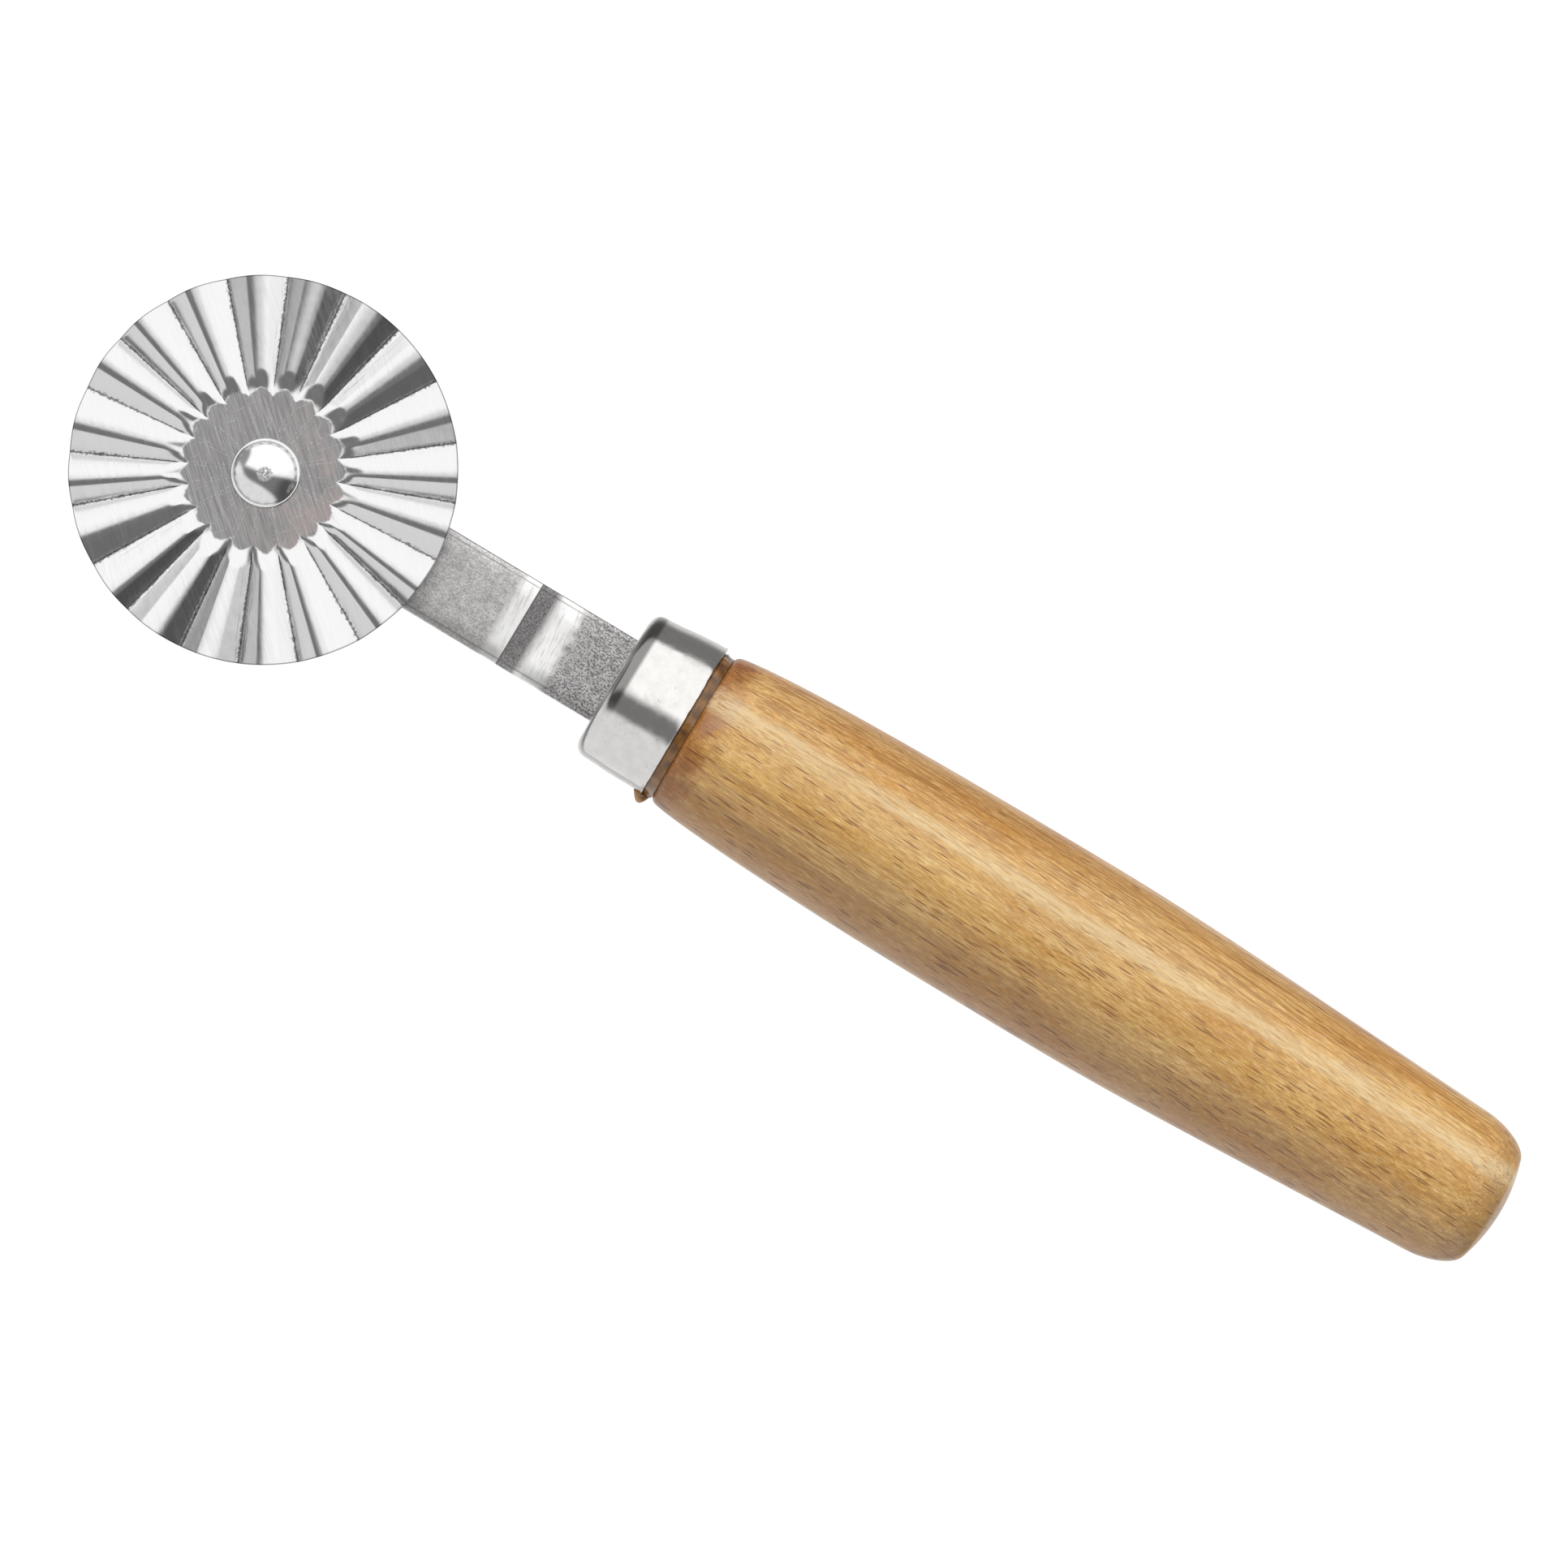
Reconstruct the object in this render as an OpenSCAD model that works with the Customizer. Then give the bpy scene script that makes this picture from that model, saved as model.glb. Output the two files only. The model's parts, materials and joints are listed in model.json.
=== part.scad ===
// Pastry cutter wheel: a fluted wheel turning on a riveted axle, a joggled
// steel arm, a pressed ferrule and a turned wooden handle.
//
// Everything is drawn in the tool's own frame: the middle of the wheel is
// the origin, +X runs to the butt of the handle, and +Z runs along the axle
// to the head of the rivet. placed() then lays the tool on a table, where
// it rests on the tail of the rivet and the belly of the handle.

/* [Wheel] */
// Diameter of the wheel
wheel_d = 40; // [38:0.5:43]
// Thickness of the sheet that the wheel is pressed from
sheet_t = 0.6; // [0.5:0.05:0.7]
// Number of flutes round the rim
flutes = 20; // [16:1:22]
// Height of a flute at the rim, from crease to crest
flute_h = 1.8; // [1.4:0.1:2.4]
// Diameter of the flat middle of the wheel
flat_d = 16.2; // [14:0.2:20]
// Angle from the arm to the first crease
first_crease = 5.4; // [0:0.2:18]

/* [Axle] */
// Diameter of the rivet's shank
rivet_d = 3; // [2.5:0.1:3.2]
// Diameter of the rivet's domed head
head_d = 6.8; // [6:0.1:7.5]
// Height of the domed head
head_h = 1.7; // [1.2:0.1:2.2]
// Diameter of the tail that the rivet is hammered into
tail_d = 5.5; // [5:0.1:6.5]
// Height of that tail
tail_h = 1; // [0.8:0.1:1.4]
// Diameter of the bush between the wheel and the arm
bush_d = 7; // [6.5:0.1:7.8]
// Diameter of the bush's nose, which the wheel turns on
nose_d = 4.4; // [4.2:0.1:5]
// Play between the wheel and its bearing, on the radius and at each face
play = 0.05; // [0.03:0.01:0.08]

/* [Arm] */
// Width of the arm
arm_w = 9.6; // [8:0.2:11]
// Thickness of the arm
arm_t = 1.6; // [1.2:0.1:1.8]
// How far the arm steps down from the handle to the wheel
arm_step = 2.95; // [2.5:0.05:3.5]
// Steepness of that step
step_angle = 41; // [35:1:45]
// Distance from the axle to the crease at the foot of the step
crease_x = 30.55; // [27:0.05:31]
// Radius of the bend at the top of the step
bend_r = 5; // [4:0.5:5.5]
// Width of the tang where it leaves the arm, and at its tip
tang_w = [4.5, 2.5]; // [2:0.1:5]
// Length of the tang inside the handle
tang_l = 37; // [30:1:45]

/* [Ferrule] */
// Distance from the axle to the front of the ferrule
ferrule_x = 42; // [41:0.5:44]
// Length of the ferrule
ferrule_l = 8.3; // [7.5:0.1:9]
// Diameter of the ferrule behind its rounded corner, and at its mouth
ferrule_d = [16.5, 17.1]; // [16:0.1:17.3]
// Thickness of the ferrule's wall
ferrule_t = 0.5; // [0.4:0.05:0.6]

/* [Handle] */
// Length of the handle behind its neck
handle_l = 95.3; // [90:0.1:110]
// Diameter of the shoulder next to the ferrule
shoulder_d = 17.5; // [17.4:0.1:18.5]
// Diameter of the belly
belly_d = 20.2; // [19.5:0.1:22]
// Distance from the shoulder to the belly
belly_x = 41.2; // [38:0.1:45]
// Diameter just before the rounded butt
waist_d = 16.5; // [15:0.1:17.5]
// Diameter of the flat spot in the middle of the butt
butt_d = 3.6; // [3:0.1:4]

/* [Hidden] */

// Parts that are assembled face to face, inside the handle, keep this gap.
glue_gap = 0.05;
washer_t = [0.3, 0.5];
washer_d = [7.1, 8];
hole_d = rivet_d + 0.1;

// Heights along the axle, from the middle of the wheel's sheet.
wheel_r = wheel_d / 2;
nose_z = sheet_t / 2 + play;
head_z = nose_z + washer_t[0];
arm_top = -arm_step + arm_t / 2;
arm_bottom = arm_top - arm_t;
tail_z = arm_bottom - washer_t[1];

// Places along the handle.
ferrule_end = ferrule_x + ferrule_l;
tenon_x = ferrule_x + ferrule_t;
neck_end = ferrule_end + 1.1;
shoulder_x = neck_end + 1;
butt_x = shoulder_x + handle_l;
waist_x = butt_x - 6.3;
neck_r = ferrule_d[1] / 2 - 0.65;

// ---- Curves ----

// Points along an arc about c, from angle a to angle b.
function arc(c, r, a, b, n = 8) =
    [for (i = [0 : n]) let (t = a + (b - a) * i / n) c + r * [cos(t), sin(t)]];

// Points along a cubic curve, without its first point.
function curve(p, n = 12) =
    [for (i = [1 : n]) let (t = i / n, s = 1 - t)
        s * s * s * p[0] + 3 * s * s * t * p[1] + 3 * s * t * t * p[2] + t * t * t * p[3]];

// ---- Outline of the handle, as [distance along the axis, radius] ----

shoulder_r = shoulder_d / 2;
belly_r = belly_d / 2;
waist_r = waist_d / 2;
belly_at = shoulder_x + belly_x;
taper = 0.049;
// The butt is a shallow dome, met by a rounded corner.
dome_r = 18;
dome_c = butt_x - sqrt(dome_r * dome_r - butt_d * butt_d / 4);
corner_r = 0.72 * waist_r;
corner_x = dome_c + sqrt(dome_r * dome_r - corner_r * corner_r);

SHOULDER = [
    [neck_end, neck_r + 0.3], [neck_end + 0.2, shoulder_r - 0.25],
    [shoulder_x - 0.3, shoulder_r - 0.05], [shoulder_x, shoulder_r]
];
FRONT = [
    [shoulder_x, shoulder_r],
    [shoulder_x + 0.12 * belly_x, shoulder_r + 0.64 * (belly_r - shoulder_r)],
    [shoulder_x + 0.52 * belly_x, belly_r],
    [belly_at, belly_r]
];
BACK = [
    [belly_at, belly_r],
    [belly_at + 0.32 * (waist_x - belly_at), belly_r],
    [waist_x - 23.7, waist_r + taper * 23.7],
    [waist_x, waist_r]
];
CORNER = [
    [waist_x, waist_r],
    [waist_x + 2.7, waist_r - taper * 2.7],
    [corner_x - 0.35, corner_r + 1],
    [corner_x, corner_r]
];
belly = concat(
    [FRONT[0]], curve(FRONT), curve(BACK), curve(CORNER, 8),
    [for (i = [1 : 5]) let (r = corner_r + (butt_d / 2 - corner_r) * i / 5)
        [dome_c + sqrt(dome_r * dome_r - r * r), r]]
);

// ---- How the tool lies on a table ----

// Lowest point of each end when the wheel's end is tipped down by angle t.
function nose_low(t) = (tail_z - tail_h) * cos(t) - (tail_d / 2 - 0.6) * sin(t);
function belly_low(t) = min([for (p = belly) p[0] * sin(t) - p[1] * cos(t)]);

// The angle at which both ends touch, by halving the interval n times.
function rest_angle(a = 0, b = 8, n = 30) =
    let (m = (a + b) / 2)
    n == 0 ? m
    : nose_low(m) > belly_low(m) ? rest_angle(m, b, n - 1)
    : rest_angle(a, m, n - 1);

rest_tilt = rest_angle();
front_x = -wheel_r * cos(rest_tilt) - (flute_h + sheet_t) / 2 * sin(rest_tilt);
back_x = max([for (p = belly) p[0] * cos(rest_tilt) + p[1] * sin(rest_tilt)]);

module placed() {
    translate([-(front_x + back_x) / 2, 0, -nose_low(rest_tilt)])
        rotate([0, -rest_tilt, 0])
            children();
}

// Turns the Z axis of its children to run along the handle.
module along_x() {
    rotate([0, 90, 0])
        children();
}

// Revolves an outline of [distance along the axis, radius] about the handle.
module turned(outline) {
    along_x()
        rotate_extrude(convexity = 6, $fn = 96)
            polygon([for (p = outline) [p[1], p[0]]]);
}

// ---- Wheel ----

// Stations across one flute: 0 is the crest, 1 the crease, 2 the next crest.
ACROSS = [0, 0.16, 0.32, 1, 1.68, 1.84];
// Stations along a flute: 0 is where it starts to rise, 1 where it is full.
ALONG = [0, 0.33, 0.67, 1];
flute_start = flat_d / 2;
flute_run = 1.3;
// The crest is round over this much of a half flute, and the rest is straight.
crest = 0.32;
crest_k = 2 / (2 * crest - crest * crest);

function half_flute(a) = a > 1 ? 2 - a : a;
function wave(u) =
    u < crest ? 1 - crest_k * u * u
    : 1 - crest_k * crest * crest - 2 * crest_k * crest * (u - crest);
// Steepness of the wave across a full-depth flute.
function steep(u) = flute_h / wheel_d * flutes / PI * 2 * crest_k * min(u, crest);
function rise(s) = s * s * (3 - 2 * s);

// Height of one face of the sheet: side is 1 on top and -1 underneath.
function face_z(r, u, s, side) =
    wave(u) * flute_h / 2 * r / wheel_r * rise(s)
    + side * sheet_t / 2 * sqrt(1 + pow(steep(u) * rise(s), 2));

// Each ring is [radius, how far the flute has risen].
RINGS = concat([for (s = ALONG) [flute_start + flute_run * s, s]], [[wheel_r, 1]]);
TURN = [for (k = [0 : flutes - 1], a = ACROSS)
    [first_crease + (k + (a - 1) / 2) * 360 / flutes, half_flute(a)]];

module pressed_sheet() {
    n = len(TURN);
    under = len(RINGS) * n;
    outer = (len(RINGS) - 1) * n;
    points = [for (side = [1, -1], g = RINGS, t = TURN)
        [g[0] * cos(t[0]), g[0] * sin(t[0]), face_z(g[0], t[1], g[1], side)]];
    faces = concat(
        [[for (j = [n - 1 : -1 : 0]) j]],
        [[for (j = [0 : n - 1]) under + j]],
        [for (i = [0 : len(RINGS) - 2], j = [0 : n - 1], upper = [true, false], half = [0, 1])
            let (
                k = (j + 1) % n,
                a = i * n,
                b = a + n,
                q = half == 0 ? [a + j, a + k, b + k] : [a + j, b + k, b + j]
            )
            upper ? q : [under + q[2], under + q[1], under + q[0]]],
        [for (j = [0 : n - 1], half = [0, 1])
            let (k = (j + 1) % n, a = outer, b = outer + under)
            half == 0 ? [a + j, a + k, b + k] : [a + j, b + k, b + j]]
    );
    polyhedron(points, faces, convexity = 10);
}

module fluted_wheel() {
    color("silver")
        placed()
            difference() {
                pressed_sheet();
                translate([0, 0, -sheet_t])
                    cylinder(d = nose_d + 2 * play, h = 2 * sheet_t, $fn = 64);
            }
}

// ---- Axle ----

module axle_rivet() {
    cap_r = (head_d * head_d / 4 + head_h * head_h) / (2 * head_h);
    color("whitesmoke")
        placed()
            union() {
                intersection() {
                    translate([0, 0, head_z + head_h - cap_r])
                        sphere(r = cap_r, $fn = 96);
                    translate([0, 0, head_z])
                        cylinder(d = head_d + 1, h = head_h + 1, $fn = 64);
                }
                translate([0, 0, tail_z - 0.1])
                    cylinder(d = rivet_d, h = head_z - tail_z + 0.2, $fn = 64);
                translate([0, 0, tail_z - tail_h + 0.4])
                    cylinder(d = tail_d, h = tail_h - 0.4, $fn = 64);
                translate([0, 0, tail_z - tail_h])
                    cylinder(d1 = tail_d - 1.2, d2 = tail_d, h = 0.4, $fn = 64);
            }
}

module hub_bush() {
    color("gainsboro")
        placed()
            difference() {
                union() {
                    translate([0, 0, arm_top])
                        cylinder(d = bush_d, h = -nose_z - arm_top, $fn = 64);
                    translate([0, 0, -nose_z - 0.1])
                        cylinder(d = nose_d, h = 2 * nose_z + 0.1, $fn = 64);
                }
                translate([0, 0, arm_top - 1])
                    cylinder(d = hole_d, h = nose_z - arm_top + 2, $fn = 64);
            }
}

module washer(d, z, t) {
    placed()
        difference() {
            translate([0, 0, z])
                cylinder(d = d, h = t, $fn = 64);
            translate([0, 0, z - 1])
                cylinder(d = hole_d, h = t + 2, $fn = 64);
        }
}

module head_washer() {
    color("gainsboro")
        washer(washer_d[0], nose_z, washer_t[0]);
}

module tail_washer() {
    color("darkgray")
        washer(washer_d[1], tail_z, washer_t[1]);
}

// ---- Arm ----

// Side of the arm, as [distance along the handle, height].
step_x = crease_x + (arm_step - bend_r * (1 - cos(step_angle))) / tan(step_angle);
foot_r = 0.3;
foot_c = [crease_x - foot_r * tan(step_angle / 2), arm_top + foot_r];
bend_c = [step_x + bend_r * sin(step_angle), arm_t / 2 - bend_r];
arm_end = tenon_x + tang_l + 1;
arm_side = concat(
    [[-arm_w, arm_top]],
    arc(foot_c, foot_r, -90, step_angle - 90, 4),
    arc(bend_c, bend_r, step_angle + 90, 90),
    [[arm_end, arm_t / 2], [arm_end, -arm_t / 2]],
    arc(bend_c, bend_r - arm_t, 90, step_angle + 90),
    arc(foot_c, foot_r + arm_t, step_angle - 90, -90),
    [[-arm_w, arm_bottom]]
);

// Outline of the tang seen from above, grown by a gap for its pocket.
function tang(gap) =
    let (a = tang_w[0] / 2 + gap, b = tang_w[1] / 2 + gap, e = tenon_x + tang_l + gap)
    [[tenon_x, a], [e - 2, b], [e, 0.6], [e, -0.6], [e - 2, -b], [tenon_x, -a]];

module arm() {
    plan = concat(
        arc([0, 0], arm_w / 2, 90, 270, 24),
        [[tenon_x, -arm_w / 2]],
        [for (i = [5 : -1 : 0]) tang(0)[i]],
        [[tenon_x, arm_w / 2]]
    );
    color("lightgray")
        placed()
            difference() {
                intersection() {
                    rotate([90, 0, 0])
                        linear_extrude(height = arm_w + 2, center = true)
                            polygon(arm_side);
                    translate([0, 0, -arm_step - arm_t])
                        linear_extrude(height = arm_step + 3 * arm_t)
                            polygon(plan);
                }
                translate([0, 0, arm_bottom - 1])
                    cylinder(d = hole_d, h = arm_t + 2, $fn = 64);
            }
}

// ---- Ferrule ----

module ferrule() {
    r0 = ferrule_d[0] / 2;
    r1 = ferrule_d[1] / 2;
    corner = 1.3;
    color("lightsteelblue")
        placed()
            difference() {
                turned(concat(
                    [[ferrule_x, 0]],
                    [for (p = arc([0, 0], corner, 180, 90, 6))
                        [ferrule_x + corner + p[0], r0 - corner + p[1]]],
                    [[ferrule_end, r1], [ferrule_end, r1 - ferrule_t]],
                    [for (p = arc([0, 0], corner - ferrule_t, 90, 180, 4))
                        [ferrule_x + corner + p[0], r0 - corner + p[1]]],
                    [[tenon_x, 0]]
                ));
                translate([ferrule_x - 1, -arm_w / 2 - 0.1, -arm_t / 2 - 0.1])
                    cube([ferrule_t + 2, arm_w + 0.2, arm_t + 0.2]);
            }
}

// ---- Handle ----

// The tenon fills the ferrule, and a turned groove divides it from the shoulder.
tenon_r = [ferrule_d[0] / 2 - ferrule_t - glue_gap, ferrule_d[1] / 2 - ferrule_t - glue_gap];
handle_outline = concat(
    [[tenon_x, 0], [tenon_x, tenon_r[0] - 1]],
    [[tenon_x + 1, tenon_r[0]], [ferrule_end, tenon_r[1]]],
    [[ferrule_end, neck_r], [neck_end, neck_r], SHOULDER[0]],
    curve(SHOULDER, 4),
    [for (i = [1 : len(belly) - 1]) belly[i]],
    [[butt_x, 0]]
);

module handle() {
    color("burlywood")
        placed()
            difference() {
                turned(handle_outline);
                translate([0, 0, -arm_t / 2 - glue_gap])
                    linear_extrude(height = arm_t + 2 * glue_gap)
                        polygon(concat([[tenon_x - 1, 2]], tang(glue_gap), [[tenon_x - 1, -2]]));
                translate([tenon_x - 1, 0, 0])
                    along_x()
                        cylinder(d = tang_w[1] + 0.6, h = tang_l + 3, $fn = 48);
            }
}

// A ring of set glue fills the groove, and one drip of it stands proud.
module glue_bead() {
    clear = 0.02;
    drip_r = 0.75;
    color("saddlebrown")
        placed()
            difference() {
                union() {
                    turned([
                        [ferrule_end + clear, neck_r + clear],
                        [ferrule_end + clear, neck_r + 0.4],
                        [neck_end - 0.4, neck_r + 0.25],
                        [neck_end - clear, neck_r + 0.3],
                        [neck_end - clear, neck_r + clear]
                    ]);
                    translate([ferrule_end + 0.2, 0.45 - ferrule_d[1] / 2, 0])
                        sphere(r = drip_r, $fn = 48);
                }
                translate([ferrule_end - 2 + clear, 0, 0])
                    along_x()
                        cylinder(r = ferrule_d[1] / 2 + clear, h = 2, $fn = 96);
                translate([ferrule_end, 0, 0])
                    along_x()
                        cylinder(r = neck_r + clear, h = 2, $fn = 96);
            }
}

handle();
ferrule();
arm();
fluted_wheel();
axle_rivet();
hub_bush();
head_washer();
tail_washer();
glue_bead();
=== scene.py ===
"""Looks of the pastry cutter wheel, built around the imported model.

Shapes are drawn in the tool's own frame, in millimetres: the middle of the
wheel is the origin, +X runs to the butt and +Z runs along the axle to the
rivet's head. to_row() takes them to the row frame, in metres.
"""

import json
import math

import bpy
import numpy as np
from mathutils import Matrix, Vector, noise


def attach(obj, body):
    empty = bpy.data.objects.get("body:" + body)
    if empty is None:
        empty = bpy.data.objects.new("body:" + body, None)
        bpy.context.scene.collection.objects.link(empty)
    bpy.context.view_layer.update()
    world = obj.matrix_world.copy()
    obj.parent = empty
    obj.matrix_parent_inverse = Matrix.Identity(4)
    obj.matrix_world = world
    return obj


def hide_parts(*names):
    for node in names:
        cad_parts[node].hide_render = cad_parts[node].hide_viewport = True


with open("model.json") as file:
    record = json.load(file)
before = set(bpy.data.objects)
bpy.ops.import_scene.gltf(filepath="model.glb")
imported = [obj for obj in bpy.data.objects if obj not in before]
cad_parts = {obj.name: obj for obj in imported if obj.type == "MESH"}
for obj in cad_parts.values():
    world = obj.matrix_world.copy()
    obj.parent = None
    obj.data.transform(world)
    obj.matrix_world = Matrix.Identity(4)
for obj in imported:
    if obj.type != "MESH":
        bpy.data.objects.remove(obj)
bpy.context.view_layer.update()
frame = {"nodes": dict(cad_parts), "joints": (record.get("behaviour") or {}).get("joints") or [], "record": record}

MM = 0.001
rng = np.random.default_rng(11)

# The wheel's sheet and its flutes. The flutes are shallower than the CAD's.
SHEET = 0.6
FLUTES = 20
FIRST_CREASE = 5.4  # degrees from the arm
# Degrees by which each crease lies off its even place, as in the photo
CREASE_OFF = (
    -1.8, -2.1, -2.4, -1.2, -0.3, 0.7, 0.3, 0.5, 1.1, 0.9,
    0.4, 2.1, 0.1, 0.5, -0.9, 0.5, 0.0, -0.3, 1.0, -0.5,
)
FLUTE_H = 1.56  # from crease to crest, at the rim
CREST = 0.36  # the part of the way from crest to crease that is rounded
CREST_BOW = 2.0  # how sharply the crest turns down into the facet
FLUTE_RUN = 1.9  # how far a flute takes to reach its height
FLAT_R = 8.62  # where the flutes start

# The arm's thickness, the hole for the rivet, and the crease at the foot of the arm's step
ARM_T = 1.6
HOLE_R = 1.55
STEP_X = 30.55
# How far the rivet's head sits off the axle, as in the photo
HEAD_X, HEAD_Y = 0.35, -0.13
# The middle of the scar on the head, from the head's own middle
SCAR = (0.1, -0.15)

# ---- The tool's frame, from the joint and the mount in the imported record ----

hinge = frame["joints"][0]
butt = next(m for m in frame["record"]["mounts"] if m["name"] == "butt_face")
AXLE = Vector(hinge["axis"]).normalized()
ALONG = Vector(butt["axis"]).normalized()
ORIGIN = Vector(hinge["pos_m"])
TURN = Matrix((ALONG, AXLE.cross(ALONG), AXLE)).transposed()
TURN_NP = np.array(TURN)


def to_row(points):
    """Tool-frame millimetres to row-frame metres."""
    return np.asarray(points, float) @ TURN_NP.T * MM + np.array(ORIGIN)


def span(node):
    """Lowest and highest corner of a CAD node, in tool-frame millimetres."""
    mesh = frame["nodes"][node].data
    co = np.zeros(len(mesh.vertices) * 3)
    mesh.vertices.foreach_get("co", co)
    p = (co.reshape(-1, 3) - np.array(ORIGIN)) @ TURN_NP / MM
    return p.min(0), p.max(0)


HANDLE, FERRULE, ARM = span("handle"), span("ferrule"), span("arm")
WHEEL, RIVET, BUSH = span("fluted_wheel"), span("axle_rivet"), span("hub_bush")
HEAD_WASHER, TAIL_WASHER = span("head_washer"), span("tail_washer")

# ---- Node trees ----


class Tree:
    """A short way to write a node tree. A socket or a plain value may be given for any input."""

    def __init__(self, owner):
        owner.use_nodes = True
        self.tree = owner.node_tree
        self.tree.nodes.clear()

    def put(self, socket, value):
        if isinstance(value, bpy.types.NodeSocket):
            self.tree.links.new(value, socket)
        elif value is not None:
            if isinstance(value, (tuple, list)) and len(value) == 3 and socket.type == "RGBA":
                value = (*value, 1)
            socket.default_value = value

    def add(self, kind, inputs=None, out=0, **props):
        node = self.tree.nodes.new(kind)
        for key, value in props.items():
            setattr(node, key, value)
        for key, value in (inputs or {}).items():
            self.put(node.inputs[key], value)
        return node if out is None else node.outputs[out]

    def math(self, op, a, b=None, c=None):
        given = {i: v for i, v in enumerate((a, b, c)) if v is not None}
        return self.add("ShaderNodeMath", given, operation=op)

    def times(self, a, b):
        return self.math("MULTIPLY", a, b)

    def vec(self, op, a, b=None, out=0):
        given = {i: v for i, v in enumerate((a, b)) if v is not None}
        return self.add("ShaderNodeVectorMath", given, out, operation=op)

    def step(self, value, low, high, to=(0, 1)):
        """A smooth step from low to high."""
        return self.add(
            "ShaderNodeMapRange",
            {"Value": value, "From Min": low, "From Max": high, "To Min": to[0], "To Max": to[1]},
            interpolation_type="SMOOTHSTEP",
        )

    def within(self, value, low, high, soft):
        """1 between low and high, 0 outside, with soft edges."""
        up = self.step(value, low - soft, low + soft)
        down = self.step(value, high - soft, high + soft, (1, 0))
        return self.times(up, down)

    def mix(self, fac, a, b, blend="MIX"):
        node = self.add("ShaderNodeMix", out=None, data_type="RGBA", blend_type=blend)
        self.put(node.inputs[0], fac)
        self.put(node.inputs[6], a)
        self.put(node.inputs[7], b)
        return node.outputs[2]

    def scaled(self, at, size, turn):
        """A place turned by (x, y, z) radians, then counted in sizes of (x, y, z) millimetres."""
        turned = self.add("ShaderNodeMapping", {"Vector": at, "Rotation": turn})
        return self.add("ShaderNodeMapping", {"Vector": turned, "Scale": tuple(1 / s for s in size)})

    def noise(self, at, size, detail=3, rough=0.5, turn=(0, 0, 0), warp=0):
        """Noise with features of size (x, y, z) millimetres."""
        return self.add(
            "ShaderNodeTexNoise",
            {
                "Vector": self.scaled(at, size, turn),
                "Scale": 1.0,
                "Detail": detail,
                "Roughness": rough,
                "Distortion": warp,
            },
        )

    def cells(self, at, size, turn=(0, 0, 0)):
        """Distance to the nearest cell's middle, with cells of size (x, y, z) millimetres."""
        given = {"Vector": self.scaled(at, size, turn), "Scale": 1.0}
        return self.add("ShaderNodeTexVoronoi", given, "Distance")

    def place(self):
        """Where a point lies, in tool-frame millimetres, and its three parts."""
        back = TURN.transposed()
        at = self.add(
            "ShaderNodeMapping",
            {
                "Vector": self.add("ShaderNodeTexCoord", out="Object"),
                "Scale": (1 / MM,) * 3,
                "Rotation": back.to_euler(),
                "Location": -(back @ ORIGIN) / MM,
            },
        )
        parts = self.add("ShaderNodeSeparateXYZ", {0: at}, out=None).outputs
        return at, parts[0], parts[1], parts[2]

    def bump(self, height, depth_mm, normal=None):
        return self.add(
            "ShaderNodeBump",
            {"Strength": 1.0, "Distance": depth_mm * MM, "Height": height, "Normal": normal},
        )

    def finish(self, **inputs):
        names = {key.replace("_", " ").title().replace("Ior", "IOR"): v for key, v in inputs.items()}
        shader = self.add("ShaderNodeBsdfPrincipled", names)
        self.add("ShaderNodeOutputMaterial", {"Surface": shader}, None)


def material(name):
    made = bpy.data.materials.new(name)
    return made, Tree(made)


# ---- Materials ----

# The way the wood's grain leans from the handle's axis, in radians
GRAIN = (0, 0.02, 0.045)


def beech_grain(t, at, y, band, fibre, streak, cloud):
    """The wood's own colour: clouds, bands, fibres, and brown streaks; and pale silky streaks of painted sheen."""
    fine = t.noise(at, (1.3, 0.11, 0.11), 3, 0.7, (0, 0.02, 0.10))
    sheen_streaks = t.noise(at, (1.5, 0.5, 0.5), 3, 0.6, GRAIN, 0.5)
    colour = t.mix(t.step(cloud, 0.36, 0.66), (0.665, 0.330, 0.061), (0.83, 0.515, 0.170))
    colour = t.mix(t.step(band, 0.40, 0.66, (0, 0.60)), colour, (0.80, 0.54, 0.215))
    colour = t.mix(t.step(fibre, 0.60, 0.36, (0, 0.50)), colour, (0.44, 0.205, 0.045))
    # Pale silky streaks: painted sheen.
    colour = t.mix(t.step(sheen_streaks, 0.52, 0.68, (0, 0.30)), colour, (0.90, 0.68, 0.35))
    colour = t.mix(t.step(fine, 0.54, 0.36, (0, 0.60)), colour, (0.38, 0.17, 0.035))
    colour = t.mix(t.step(fine, 0.55, 0.70, (0, 0.55)), colour, (0.97, 0.78, 0.42))
    # Fine streaks, darkest on the +Y side, and one broad dull band below the middle.
    brown = t.times(t.step(streak, 0.47, 0.60), t.step(y, 3.5, 6.5, (0.16, 0.70)))
    colour = t.mix(brown, colour, (0.36, 0.155, 0.028))
    dull = t.within(t.math("MULTIPLY_ADD", band, 5.0, y), -4.2, 0.4, 1.0)
    dull = t.times(dull, t.step(streak, 0.40, 0.58, (0.12, 0.48)))
    return t.mix(dull, colour, (0.34, 0.185, 0.075))


def beech_flecks(t, at, y):
    """Short dark flecks along the grain, thickest on the -Y side.

    They are rays seen end on, so they run deep into the wood.
    """
    small = t.math("SUBTRACT", t.cells(at, (4.2, 0.42, 4.0), (0, 0.02, 0.06)), 0.02)
    spot = t.math("MINIMUM", t.cells(at, (6.5, 0.46, 5.0), GRAIN), small)
    patch = t.step(t.noise(at, (14, 5, 5), 2, 0.5), 0.24, 0.52)
    dense = t.times(patch, t.step(y, 8, -1, (0.40, 1)))
    reach = t.math("MULTIPLY_ADD", dense, 0.13, 0.06)
    return t.step(t.math("SUBTRACT", spot, reach), 0.03, -0.03)


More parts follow.
